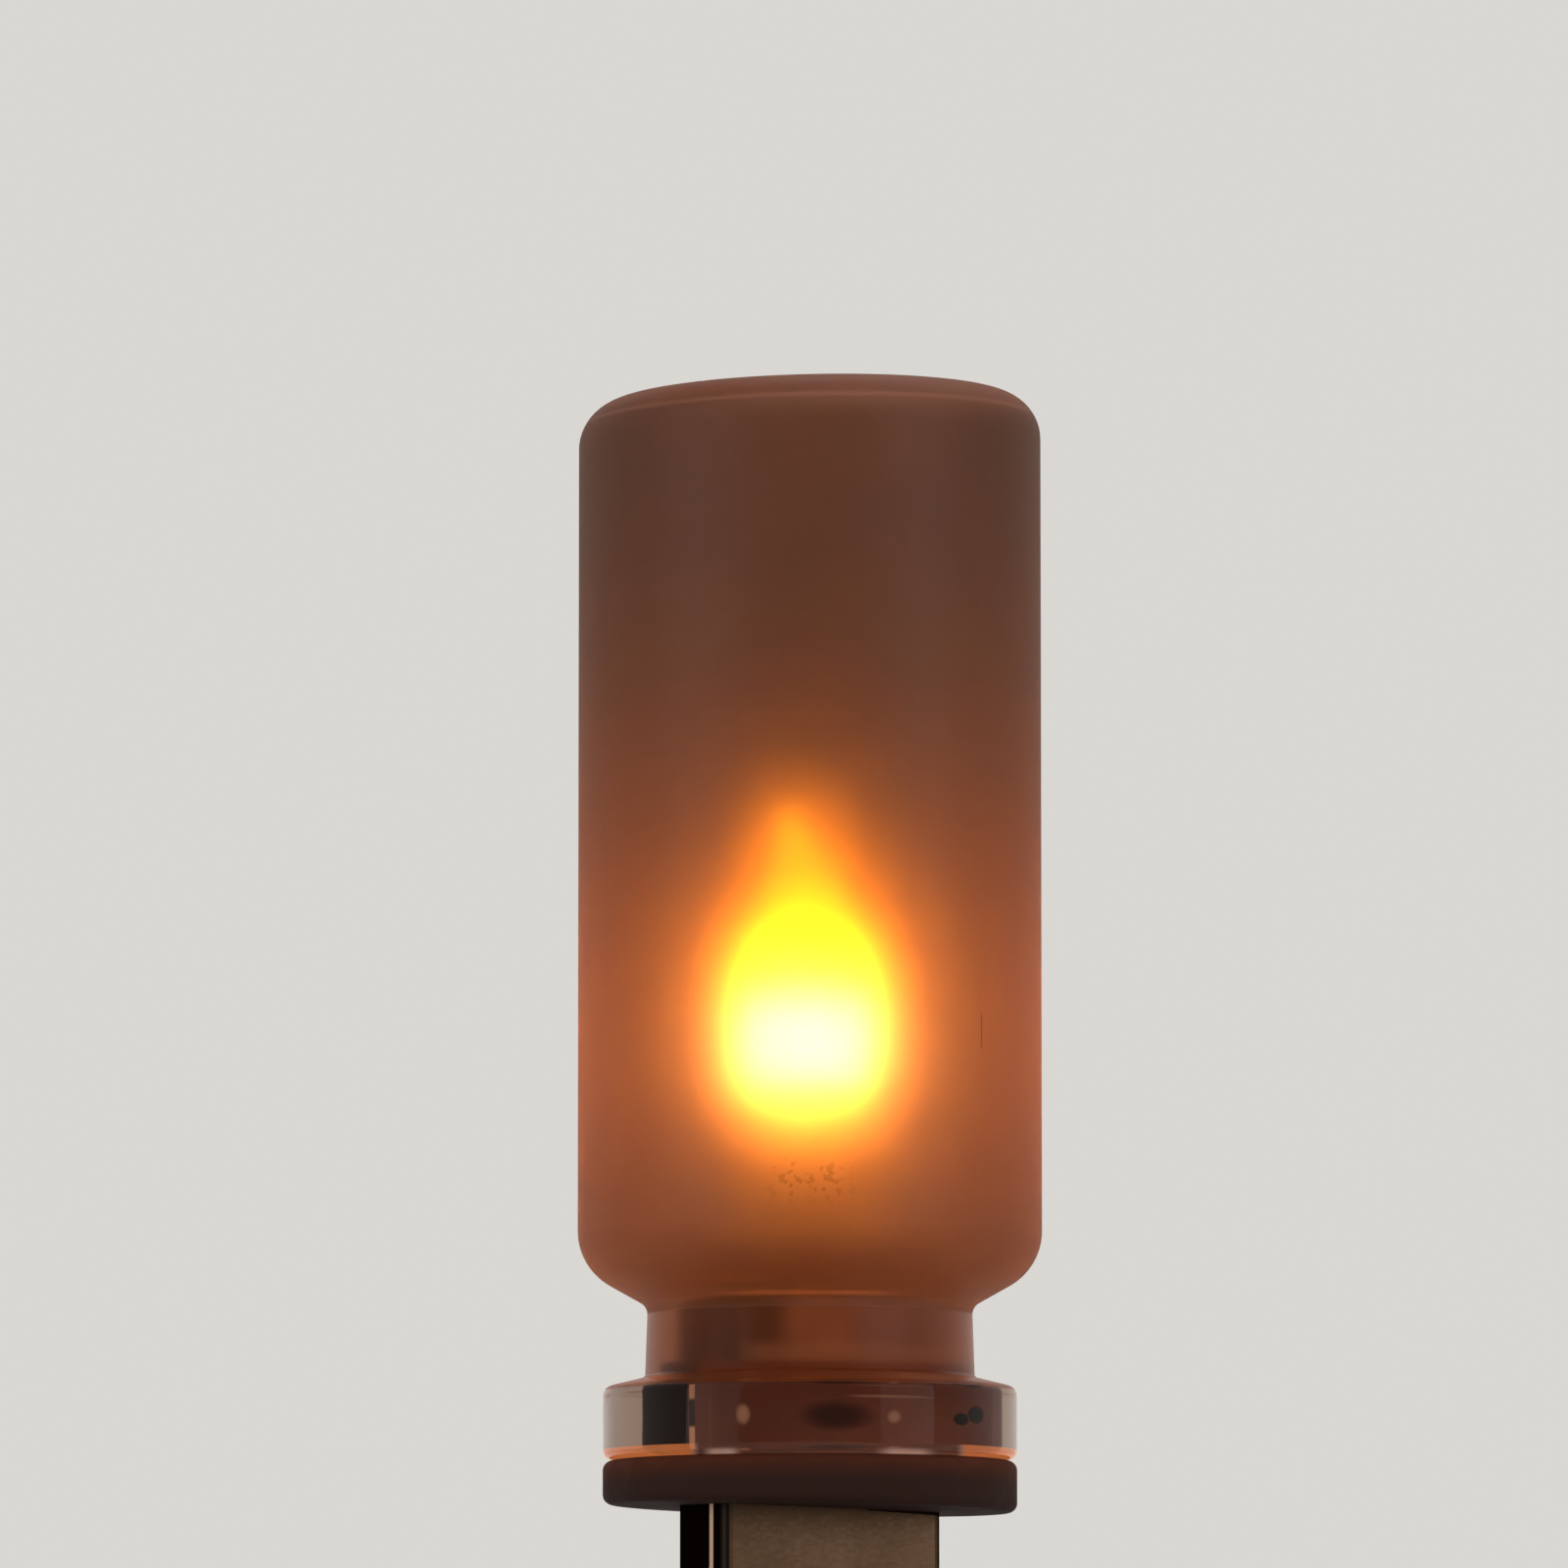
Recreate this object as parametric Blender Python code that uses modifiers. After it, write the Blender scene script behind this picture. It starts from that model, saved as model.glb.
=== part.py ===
"""Flame-effect LED bulb with a plug-in base.

A frosted glass cover with a clear flange stands on a matte base disc. A flat metal plug comes out of the
disc. Its rear end is set in clear resin inside the flange and neck, and carries an upright lamp board with
rows of small LEDs under a leaning flame-shaped diffuser.

Frame: the origin is the centre of the plug's open end, +Z runs up through the glass, and the plug's broad
faces look along +Y and -Y. Units are metres.
"""

import math

import bmesh
import bpy

MM = 0.001
ROUND_SIDES = 64
SMALL_SIDES = 32
ARC_STEPS = 6
CLEARANCE = 0.05 * MM

# Plug
PLUG_WIDTH = 12.0 * MM
PLUG_HEIGHT = 4.5 * MM
PLUG_LENGTH = 18.75 * MM
PLUG_EXPOSED = 12.0 * MM
PLUG_WALL = 0.3 * MM
PLUG_CORNER = 0.45 * MM
PLUG_SEAM = 0.1 * MM
WINDOW_WIDTH = 2.5 * MM
WINDOW_LENGTH = 2.0 * MM
WINDOW_SPACING = 5.0 * MM
WINDOW_FROM_END = 6.2 * MM

# Moulded insulator in the plug
TONGUE_THICKNESS = 1.84 * MM
TONGUE_SETBACK = 0.4 * MM
SOCKET_DEPTH = 12.2 * MM

# Contact strips
CONTACT_WIDTH = 1.0 * MM
CONTACT_THICKNESS = 0.25 * MM
CONTACT_PROUD = 0.05 * MM
INNER_CONTACT_X = 1.0 * MM
OUTER_CONTACT_X = 3.5 * MM
INNER_CONTACT_START = 2.2 * MM
OUTER_CONTACT_START = 1.2 * MM
JOGGLE_LENGTH = 1.6 * MM
JOGGLE_INSET = 1.2 * MM
TAIL_LENGTH = 1.5 * MM

# Black block behind the plug
BLOCK_HEIGHT = 3.45 * MM
BLOCK_CORNER = 0.5 * MM

# Lamp board and what is soldered to it
BOARD_THICKNESS = 0.8 * MM
BOARD_MARGIN = 0.5 * MM
BOARD_SINK = 2.0 * MM
BOARD_SHOULDER = 9.0 * MM
CHIP_WIDTH = 3.9 * MM
CHIP_LENGTH = 4.9 * MM
CHIP_THICKNESS = 1.4 * MM
CHIP_FROM_BLOCK = 1.6 * MM
LEG_REACH = 0.95 * MM
LEG_WIDTH = 0.4 * MM
LEG_THICKNESS = 0.2 * MM
LEG_PITCH = 1.27 * MM
LEGS_PER_SIDE = 4
RESISTOR_SIZE = (0.8 * MM, 0.45 * MM, 1.6 * MM)
CAPACITOR_SIZE = (1.25 * MM, 0.9 * MM, 2.0 * MM)
SMALL_PART_SPACING = 2.6 * MM
SMALL_PART_GAP = 1.6 * MM

# LEDs, the same rows on both faces of the board
LED_ROWS = (2, 3, 3, 2, 1)
LED_WIDTH = 0.8 * MM
LED_LENGTH = 1.6 * MM
LED_THICKNESS = 0.45 * MM
LED_BASE = 0.2 * MM
LED_PITCH_X = 1.5 * MM
LED_PITCH_Z = 1.9 * MM
FIRST_ROW = 1.4 * MM

# Flame diffuser
DIFFUSER_WALL = 0.5 * MM
DIFFUSER_ROOM = 0.8 * MM
DIFFUSER_TIP = 4.4 * MM
DIFFUSER_TIP_WALL = 1.6 * MM
FLAME_LEAN = 1.2 * MM
FLAME_STEPS = 9

# Base disc
DISC_THICKNESS = 2.25 * MM
DISC_EDGE = 0.45 * MM

# Glass cover
GLASS_RADIUS = 11.0 * MM
GLASS_HEIGHT = 50.61 * MM
GLASS_WALL = 1.0 * MM
TOP_CORNER = 2.25 * MM
TOP_SLANT = math.radians(1.3)
SLANT_TOWARDS = math.radians(-31.0)
SHOULDER_RADIUS = 2.95 * MM
SHOULDER_SLOPE = math.radians(29.3)
SHOULDER_SHARE = 0.8
NECK_WALL = 0.9 * MM
NECK_DRAFT = 0.1 * MM
NECK_TOP = 6.88 * MM
NECK_BEND = 0.65 * MM
FLANGE_STEP = 2.0 * MM
FLANGE_HEIGHT = 3.87 * MM
FLANGE_SLOPE = math.radians(13.0)
FLANGE_CORNER = 0.5 * MM
FLANGE_EDGE = 0.45 * MM

# Clear resin round the core
RESIN_SKIN = 0.392 * MM
RESIN_TOP = 6.65 * MM

# Levels and fits that follow from the sizes above
BOARD_FACE = BOARD_THICKNESS / 2
DISC_BOTTOM = PLUG_EXPOSED
GLASS_BOTTOM = DISC_BOTTOM + DISC_THICKNESS + CLEARANCE
BLOCK_BOTTOM = PLUG_LENGTH + CLEARANCE
BLOCK_TOP = BLOCK_BOTTOM + BLOCK_HEIGHT
SHOULDER_Z = BLOCK_TOP + BOARD_SHOULDER
CAVITY_HALF_WIDTH = PLUG_WIDTH / 2 - PLUG_WALL
CAVITY_HALF_HEIGHT = PLUG_HEIGHT / 2 - PLUG_WALL
BORE_RADIUS = math.hypot(PLUG_WIDTH / 2, PLUG_HEIGHT / 2) + RESIN_SKIN + 2 * CLEARANCE
NECK_RADIUS = BORE_RADIUS + NECK_WALL
FLANGE_RADIUS = NECK_RADIUS + FLANGE_STEP
BOARD_HALF_WIDTH = OUTER_CONTACT_X + CONTACT_WIDTH / 2 + BOARD_MARGIN
LED_HALF_SPREAD = (max(LED_ROWS) - 1) / 2 * LED_PITCH_X + LED_WIDTH / 2
LED_FACE = BOARD_FACE + CLEARANCE + LED_THICKNESS
HEAD_HALF_WIDTH = LED_HALF_SPREAD + 2 * CLEARANCE
FOOT_RADIUS = math.hypot(HEAD_HALF_WIDTH, BOARD_FACE) + 2 * CLEARANCE
BELLY_RADIUS = math.hypot(LED_HALF_SPREAD, LED_FACE) + DIFFUSER_ROOM
FOOT_Z = SHOULDER_Z + CLEARANCE
BELLY_Z = SHOULDER_Z + FIRST_ROW + LED_PITCH_Z
LAST_LED_TOP = SHOULDER_Z + FIRST_ROW + (len(LED_ROWS) - 1) * LED_PITCH_Z + LED_LENGTH / 2
TIP_Z = LAST_LED_TOP + DIFFUSER_TIP


def clear_scene():
    """Remove every object, so that the script can be run again in the same file."""
    for obj in list(bpy.data.objects):
        bpy.data.objects.remove(obj, do_unlink=True)


def new_collection(name):
    collection = bpy.data.collections.new(name)
    bpy.context.scene.collection.children.link(collection)
    return collection


def finish(name, color, roughness, metallic=0.0, transmission=0.0):
    """A plain Principled material for one sub-part."""
    material = bpy.data.materials.new(name)
    material.use_nodes = True
    shader = material.node_tree.nodes["Principled BSDF"]
    shader.inputs["Base Color"].default_value = (*color, 1.0)
    shader.inputs["Roughness"].default_value = roughness
    shader.inputs["Metallic"].default_value = metallic
    shader.inputs["Transmission Weight"].default_value = transmission
    return material


def place(name, mesh, material):
    """Link a mesh to the bulb as the named sub-part."""
    mesh.materials.clear()
    mesh.materials.append(material)
    obj = bpy.data.objects.new(name, mesh)
    bulb.objects.link(obj)
    return obj


def as_cutter(obj):
    """Keep an object for Booleans alone."""
    bulb.objects.unlink(obj)
    cutters.objects.link(obj)
    obj.hide_render = True
    obj.display_type = "WIRE"
    return obj


def cut(obj, *tools):
    for tool in tools:
        boolean = obj.modifiers.new("Cut " + tool.name, "BOOLEAN")
        boolean.operation = "DIFFERENCE"
        boolean.object = tool


def shade(mesh):
    """Smooth over the round faces and keep the real edges sharp."""
    mesh.shade_smooth()
    mesh.set_sharp_from_angle(angle=math.radians(32))


def frozen(obj, material):
    """The object's evaluated shape as a plain, shaded mesh under the same name."""
    name = obj.name
    place_in_world = obj.matrix_world.copy()
    graph = bpy.context.evaluated_depsgraph_get()
    graph.update()
    mesh = bpy.data.meshes.new_from_object(obj.evaluated_get(graph))
    bpy.data.objects.remove(obj, do_unlink=True)
    welded = bmesh.new()
    welded.from_mesh(mesh)
    bmesh.ops.remove_doubles(welded, verts=welded.verts, dist=0.000001)
    welded.to_mesh(mesh)
    welded.free()
    shade(mesh)
    solid = place(name, mesh, material)
    solid.matrix_world = place_in_world
    return solid


def turned(name, profile, material, sides=ROUND_SIDES):
    """Turn a profile of (radius, height) points, top to bottom on its outer side, about the Z axis."""
    mesh = bpy.data.meshes.new(name + " profile")
    points = [(radius, 0.0, height) for radius, height in profile]
    mesh.from_pydata(points, [(i, i + 1) for i in range(len(points) - 1)], [])
    obj = bpy.data.objects.new(name, mesh)
    bulb.objects.link(obj)
    screw = obj.modifiers.new("Turn", "SCREW")
    screw.angle = math.tau
    screw.steps = sides
    screw.render_steps = sides
    screw.use_merge_vertices = True
    screw.merge_threshold = 0.000001
    return frozen(obj, material)


def block(name, size, center, material, corner=0.0):
    """A box, with its four upright edges rounded where a corner radius is given."""
    box = bmesh.new()
    bmesh.ops.create_cube(box, size=1.0)
    bmesh.ops.scale(box, vec=size, verts=box.verts)
    if corner:
        upright = [edge for edge in box.edges if abs(edge.verts[0].co.z - edge.verts[1].co.z) > size[2] / 2]
        bmesh.ops.bevel(box, geom=upright, offset=corner, segments=4, profile=0.5, affect="EDGES")
    mesh = bpy.data.meshes.new(name)
    box.to_mesh(mesh)
    box.free()
    if corner:
        shade(mesh)
    obj = place(name, mesh, material)
    obj.location = center
    return obj


def flat_piece(name, outline, depth, turn, material):
    """Extrude a flat outline by a depth about its own plane, then turn it into place."""
    curve = bpy.data.curves.new(name, "CURVE")
    curve.dimensions = "2D"
    curve.fill_mode = "BOTH"
    curve.extrude = depth / 2
    spline = curve.splines.new("POLY")
    spline.points.add(len(outline) - 1)
    for point, (across, along) in zip(spline.points, outline):
        point.co = (across, along, 0.0, 1.0)
    spline.use_cyclic_u = True
    obj = bpy.data.objects.new(name, curve)
    bulb.objects.link(obj)
    obj.rotation_euler = turn
    bpy.context.view_layer.update()
    return frozen(obj, material)


# An outline drawn as (X, Z), and one drawn as (Y, Z)
FACING_Y = (math.pi / 2, 0.0, 0.0)
FACING_X = (math.pi / 2, 0.0, math.pi / 2)


def arc(center_radius, center_z, radius, start, end, steps=ARC_STEPS):
    """Points of a profile's arc, with angles measured up from the outward direction."""
    angles = [start + (end - start) * i / steps for i in range(steps + 1)]
    return [(center_radius + radius * math.cos(a), center_z + radius * math.sin(a)) for a in angles]


def make_plug_shell():
    """Folded metal tube with two windows in each broad face and a seam down the tongue's side."""
    half = PLUG_LENGTH / 2
    shell = block("plug_shell", (PLUG_WIDTH, PLUG_HEIGHT, PLUG_LENGTH), (0, 0, half), plated, PLUG_CORNER)
    inside_size = (2 * CAVITY_HALF_WIDTH, 2 * CAVITY_HALF_HEIGHT, 2 * PLUG_LENGTH)
    inside = block("plug_inside", inside_size, (0, 0, half), plated, PLUG_CORNER - PLUG_WALL)
    cut(shell, as_cutter(inside))
    for side in (-1, 1):
        window_size = (WINDOW_WIDTH, 2 * PLUG_HEIGHT, WINDOW_LENGTH)
        window_place = (side * WINDOW_SPACING / 2, 0, WINDOW_FROM_END)
        cut(shell, as_cutter(block("plug_window", window_size, window_place, plated)))
    seam_place = (0, PLUG_HEIGHT / 2, half)
    seam = block("plug_seam", (PLUG_SEAM, PLUG_HEIGHT / 2, 2 * PLUG_LENGTH), seam_place, plated)
    cut(shell, as_cutter(seam))


def strip_outline(start, end, half_thickness):
    """Side view of a contact: flat on the tongue, a joggle inside the insulator, then the tail."""
    tongue_y = CAVITY_HALF_HEIGHT - CLEARANCE - TONGUE_THICKNESS
    contact_y = tongue_y - CONTACT_PROUD + CONTACT_THICKNESS / 2
    tail_y = -BOARD_FACE - CLEARANCE - CONTACT_THICKNESS / 2
    bend = SOCKET_DEPTH + JOGGLE_INSET
    line = [(contact_y, start), (contact_y, bend), (tail_y, bend + JOGGLE_LENGTH), (tail_y, end)]
    there = [(y + half_thickness, z) for y, z in line]
    back = [(y - half_thickness, z) for y, z in reversed(line)]
    return there + back


def make_contacts():
    """Four gold strips, the outer pair longer, that run from the tongue to the lamp board's pads."""
    slots = []
    for name, x, start in (
        ("contact_outer_left", -OUTER_CONTACT_X, OUTER_CONTACT_START),
        ("contact_inner_left", -INNER_CONTACT_X, INNER_CONTACT_START),
        ("contact_inner_right", INNER_CONTACT_X, INNER_CONTACT_START),
        ("contact_outer_right", OUTER_CONTACT_X, OUTER_CONTACT_START),
    ):
        tail_end = BLOCK_TOP + TAIL_LENGTH
        outline = strip_outline(start, tail_end, CONTACT_THICKNESS / 2)
        strip = flat_piece(name, outline, CONTACT_WIDTH, FACING_X, gold)
        strip.location.x = x
        wide = strip_outline(start - CLEARANCE, tail_end + CLEARANCE, CONTACT_THICKNESS / 2 + CLEARANCE)
        slot = flat_piece(name + "_slot", wide, CONTACT_WIDTH + 2 * CLEARANCE, FACING_X, gold)
        slot.location.x = x
        slots.append(as_cutter(slot))
    return slots


def make_insulator(contact_slots):
    """One moulding: the tongue that carries the contacts, and the body that fills the shell's rear."""
    low_y = CAVITY_HALF_HEIGHT - CLEARANCE - TONGUE_THICKNESS
    back_y = CAVITY_HALF_HEIGHT - CLEARANCE
    front_y = -back_y
    side_view = [
        (back_y, TONGUE_SETBACK),
        (back_y, PLUG_LENGTH),
        (front_y, PLUG_LENGTH),
        (front_y, SOCKET_DEPTH),
        (low_y, SOCKET_DEPTH),
        (low_y, TONGUE_SETBACK),
    ]
    width = 2 * (CAVITY_HALF_WIDTH - max(PLUG_CORNER - PLUG_WALL, CLEARANCE))
    cut(flat_piece("plug_insulator", side_view, width, FACING_X, black), *contact_slots)


def make_rear_block(contact_slots):
    """Black block on the plug's rear end, slotted for the board and the contact tails."""
    size = (PLUG_WIDTH, PLUG_HEIGHT, BLOCK_HEIGHT)
    rear = block("rear_block", size, (0, 0, BLOCK_BOTTOM + BLOCK_HEIGHT / 2), black, BLOCK_CORNER)
    slot_size = (2 * (BOARD_HALF_WIDTH + CLEARANCE), BOARD_THICKNESS + 2 * CLEARANCE, 2 * (BOARD_SINK + CLEARANCE))
    slot = block("board_slot", slot_size, (0, 0, BLOCK_TOP), black)
    cut(rear, as_cutter(slot), *contact_slots)


def lean(z):
    """How far the flame has leaned over towards -X at a height."""
    return -FLAME_LEAN * (max(z - FOOT_Z, 0.0) / (TIP_Z - FOOT_Z)) ** 2


def flame_radius(z, foot, belly, tip_z):
    """A flame's radius at a height: an ellipse up to the belly, then a cosine up to the tip."""
    if z < BELLY_Z:
        drop = (BELLY_Z - z) / (BELLY_Z - FOOT_Z)
        return belly * math.sqrt(1.0 - drop**2 * (1.0 - (foot / belly) ** 2))
    return belly * math.cos(math.pi / 2 * min((z - BELLY_Z) / (tip_z - BELLY_Z), 1.0))


def flame_profile(foot, belly, tip_z):
    """Profile points from the tip down to the foot."""
    above = [tip_z + (BELLY_Z - tip_z) * i / FLAME_STEPS for i in range(1, FLAME_STEPS + 1)]
    below = [BELLY_Z + (FOOT_Z - BELLY_Z) * i / 4 for i in range(1, 5)]
    return [(0.0, tip_z)] + [(flame_radius(z, foot, belly, tip_z), z) for z in above + below]


def make_diffuser():
    """Milky flame-shaped hood, open at the foot, that stands on the board's shoulders."""
    outside = flame_profile(FOOT_RADIUS + DIFFUSER_WALL, BELLY_RADIUS + DIFFUSER_WALL, TIP_Z)
    inside = flame_profile(FOOT_RADIUS, BELLY_RADIUS, TIP_Z - DIFFUSER_TIP_WALL)
    hood = turned("flame_diffuser", outside + inside[::-1], milky, SMALL_SIDES)
    for vertex in hood.data.vertices:
        vertex.co.x += lean(vertex.co.z)


def make_board():
    """Lamp board: a wide foot in the rear block, shoulders for the diffuser, and a head that fits in it."""
    inner_tip = TIP_Z - DIFFUSER_TIP_WALL
    head = []
    for i in range(FLAME_STEPS):
        z = FOOT_Z + (LAST_LED_TOP - FOOT_Z) * i / (FLAME_STEPS - 1)
        room = flame_radius(z, FOOT_RADIUS, BELLY_RADIUS, inner_tip) - 2 * CLEARANCE
        half = min(HEAD_HALF_WIDTH, math.sqrt(max(room**2 - BOARD_FACE**2, LED_WIDTH**2 / 4)))
        head.append((half, z))
    foot_z = BLOCK_TOP - BOARD_SINK
    right = [(BOARD_HALF_WIDTH, foot_z), (BOARD_HALF_WIDTH, SHOULDER_Z), (HEAD_HALF_WIDTH, SHOULDER_Z)]
    right += [(half + lean(z), z) for half, z in head]
    left = [(lean(z) - half, z) for half, z in reversed(head)]
    left += [(-HEAD_HALF_WIDTH, SHOULDER_Z), (-BOARD_HALF_WIDTH, SHOULDER_Z), (-BOARD_HALF_WIDTH, foot_z)]
    flat_piece("lamp_board", right + left, BOARD_THICKNESS, FACING_Y, white_board)


def make_leds():
    """Flat little LEDs with a raised lens, in rows on both faces of the board's head."""
    half = LED_LENGTH / 2
    lens = half - LED_BASE
    side_view = [
        (0.0, -half),
        (0.0, half),
        (-LED_BASE, half),
        (-LED_BASE, lens),
        (-LED_THICKNESS, lens - LED_BASE / 2),
        (-LED_THICKNESS, LED_BASE / 2 - lens),
        (-LED_BASE, -lens),
        (-LED_BASE, -half),
    ]
    pattern = flat_piece("led_pattern", side_view, LED_WIDTH, FACING_X, led_lens)
    for row, count in enumerate(LED_ROWS):
        z = SHOULDER_Z + FIRST_ROW + row * LED_PITCH_Z
        for column in range(count):
            x = lean(z) + (column - (count - 1) / 2) * LED_PITCH_X
            for face, side in (("front", -1), ("back", 1)):
                led = pattern.copy()
                led.name = f"led_{face}_{row + 1}_{column + 1}"
                bulb.objects.link(led)
                led.location = (x, side * (BOARD_FACE + CLEARANCE), z)
                if side > 0:
                    led.rotation_euler.z += math.pi
    bpy.data.objects.remove(pattern, do_unlink=True)


def make_small_part(name, size, x, z, material):
    """A resistor or capacitor with its two end caps, flat on the board's front face."""
    width, thickness, length = size
    cap = length / 5
    step = thickness / 10
    front = -BOARD_FACE - CLEARANCE
    side_view = [
        (front, z - length / 2),
        (front, z + length / 2),
        (front - thickness, z + length / 2),
        (front - thickness, z + length / 2 - cap),
        (front - thickness + step, z + length / 2 - cap),
        (front - thickness + step, z - length / 2 + cap),
        (front - thickness, z - length / 2 + cap),
        (front - thickness, z - length / 2),
    ]
    part = flat_piece(name, side_view, width, FACING_X, material)
    part.location.x = x


def make_small_parts():
    z = BLOCK_TOP + TAIL_LENGTH + SMALL_PART_GAP
    make_small_part("resistor_left", RESISTOR_SIZE, -SMALL_PART_SPACING, z, dark_ceramic)
    make_small_part("resistor_right", RESISTOR_SIZE, SMALL_PART_SPACING, z, dark_ceramic)
    make_small_part("capacitor", CAPACITOR_SIZE, 0.0, z, tan_ceramic)


def make_chip():
    """Controller chip on the board's back face, its legs bent down to the board."""
    foot_y = BOARD_FACE + CLEARANCE
    under = foot_y + CLEARANCE
    middle_y = under + CHIP_THICKNESS / 2
    z = BLOCK_TOP + CHIP_FROM_BLOCK + CHIP_LENGTH / 2
    chip = block("controller_chip", (CHIP_WIDTH, CHIP_THICKNESS, CHIP_LENGTH), (0, middle_y, z), black)
    knee = CHIP_WIDTH / 2 + LEG_REACH / 2
    toe = CHIP_WIDTH / 2 + LEG_REACH
    top_view = [
        (CHIP_WIDTH / 4, middle_y + LEG_THICKNESS / 2),
        (CHIP_WIDTH / 4, middle_y - LEG_THICKNESS / 2),
        (knee - LEG_THICKNESS, middle_y - LEG_THICKNESS / 2),
        (knee - LEG_THICKNESS, foot_y),
        (toe, foot_y),
        (toe, foot_y + LEG_THICKNESS),
        (knee, foot_y + LEG_THICKNESS),
        (knee, middle_y + LEG_THICKNESS / 2),
    ]
    for side in (0, 1):
        for leg in range(LEGS_PER_SIDE):
            height = z + (leg - (LEGS_PER_SIDE - 1) / 2) * LEG_PITCH
            outline = [(x * (1 - 2 * side), y) for x, y in top_view]
            piece = flat_piece("chip_leg", outline, LEG_WIDTH, (0.0, 0.0, 0.0), plated)
            piece.location.z = height
            join = chip.modifiers.new("Join leg", "BOOLEAN")
            join.operation = "UNION"
            join.object = as_cutter(piece)


def make_base_disc():
    """Matte disc with soft edges and a slot that the plug passes through."""
    radius = FLANGE_RADIUS
    edge = min(DISC_EDGE, 0.45 * DISC_THICKNESS)
    top = DISC_BOTTOM + DISC_THICKNESS
    profile = [(0.0, top)]
    profile += arc(radius - edge, top - edge, edge, math.pi / 2, 0.0)
    profile += arc(radius - edge, DISC_BOTTOM + edge, edge, 0.0, -math.pi / 2)
    profile += [(0.0, DISC_BOTTOM)]
    cut(turned("base_disc", profile, matte_grey), core_cutter)


def make_resin():
    """Clear resin that fills the bore of the flange and neck round the core."""
    radius = BORE_RADIUS - CLEARANCE
    top = GLASS_BOTTOM + RESIN_TOP
    profile = [(0.0, top), (radius, top), (radius, GLASS_BOTTOM), (0.0, GLASS_BOTTOM)]
    cut(turned("clear_resin", profile, resin), core_cutter)


def shoulder(center_radius, center_z, radius, neck_radius, neck_bend):
    """The lower shoulder: round an arc from the body's side, down a straight slope, and round into the neck."""
    curve = arc(center_radius, center_z, radius, 0.0, SHOULDER_SLOPE - math.pi / 2)
    end_radius, end_z = curve[-1]
    inset = 1.0 - math.sin(SHOULDER_SLOPE)
    neck_bend = min(neck_bend, (end_radius - neck_radius) / inset)
    slope_run = end_radius - neck_radius - neck_bend * inset
    neck_z = end_z - slope_run * math.tan(SHOULDER_SLOPE) - neck_bend * math.cos(SHOULDER_SLOPE)
    return curve + arc(neck_radius + neck_bend, neck_z, neck_bend, SHOULDER_SLOPE + math.pi / 2, math.pi)


def flange():
    """The flange's outline, from its flat foot round the edge, up the side and over the sloping top to the neck."""
    edge = min(FLANGE_EDGE, FLANGE_STEP / 2)
    corner = min(FLANGE_CORNER, FLANGE_STEP / 2)
    slope_run = FLANGE_STEP - corner * (1.0 - math.sin(FLANGE_SLOPE))
    slope_end = GLASS_BOTTOM + FLANGE_HEIGHT - slope_run * math.tan(FLANGE_SLOPE)
    corner_z = slope_end - corner * math.cos(FLANGE_SLOPE)
    foot = arc(FLANGE_RADIUS - edge, GLASS_BOTTOM + edge, edge, -math.pi / 2, 0.0)
    rounded = arc(FLANGE_RADIUS - corner, corner_z, corner, 0.0, math.pi / 2 - FLANGE_SLOPE)
    return foot + rounded + [(NECK_RADIUS, GLASS_BOTTOM + FLANGE_HEIGHT)]


def slant_top(cover):
    """Blown glass isn't quite even: the closed end rises a little towards one side."""
    rise_x = math.tan(TOP_SLANT) * math.cos(SLANT_TOWARDS)
    rise_y = math.tan(TOP_SLANT) * math.sin(SLANT_TOWARDS)
    for vertex in cover.data.vertices:
        if vertex.co.z > GLASS_BOTTOM + GLASS_HEIGHT / 2:
            vertex.co.z += rise_x * vertex.co.x + rise_y * vertex.co.y


def make_glass_cover():
    """One glass piece: flat top with a round corner, straight body, shoulder, neck and flange."""
    top = GLASS_BOTTOM + GLASS_HEIGHT
    corner = min(TOP_CORNER, SHOULDER_SHARE * GLASS_RADIUS)
    slimmest = NECK_RADIUS - NECK_DRAFT
    room = (GLASS_RADIUS - slimmest) / (1.0 - math.sin(SHOULDER_SLOPE))
    bend = min(SHOULDER_RADIUS, SHOULDER_SHARE * room)
    bend_radius = GLASS_RADIUS - bend
    drop = -shoulder(bend_radius, 0.0, bend, slimmest, NECK_BEND)[-1][1]
    bend_z = GLASS_BOTTOM + NECK_TOP + drop

    outside = [(0.0, top)]
    outside += arc(GLASS_RADIUS - corner, top - corner, corner, math.pi / 2, 0.0)
    outside += shoulder(bend_radius, bend_z, bend, slimmest, NECK_BEND)
    outside += flange()[::-1]

    inner_corner = max(corner - GLASS_WALL, GLASS_WALL / 4)
    inner_radius = GLASS_RADIUS - GLASS_WALL
    inner_bend = max(bend - GLASS_WALL, GLASS_WALL / 4)
    inside = [(0.0, top - GLASS_WALL)]
    inside += arc(inner_radius - inner_corner, top - GLASS_WALL - inner_corner, inner_corner, math.pi / 2, 0.0)
    inside += shoulder(inner_radius - inner_bend, bend_z, inner_bend, BORE_RADIUS, NECK_BEND + GLASS_WALL)
    inside += [(BORE_RADIUS, GLASS_BOTTOM)]
    slant_top(turned("glass_cover", outside + inside[::-1], frosted_glass))


clear_scene()
bulb = new_collection("Flame effect bulb")
cutters = new_collection("Cutters")

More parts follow.
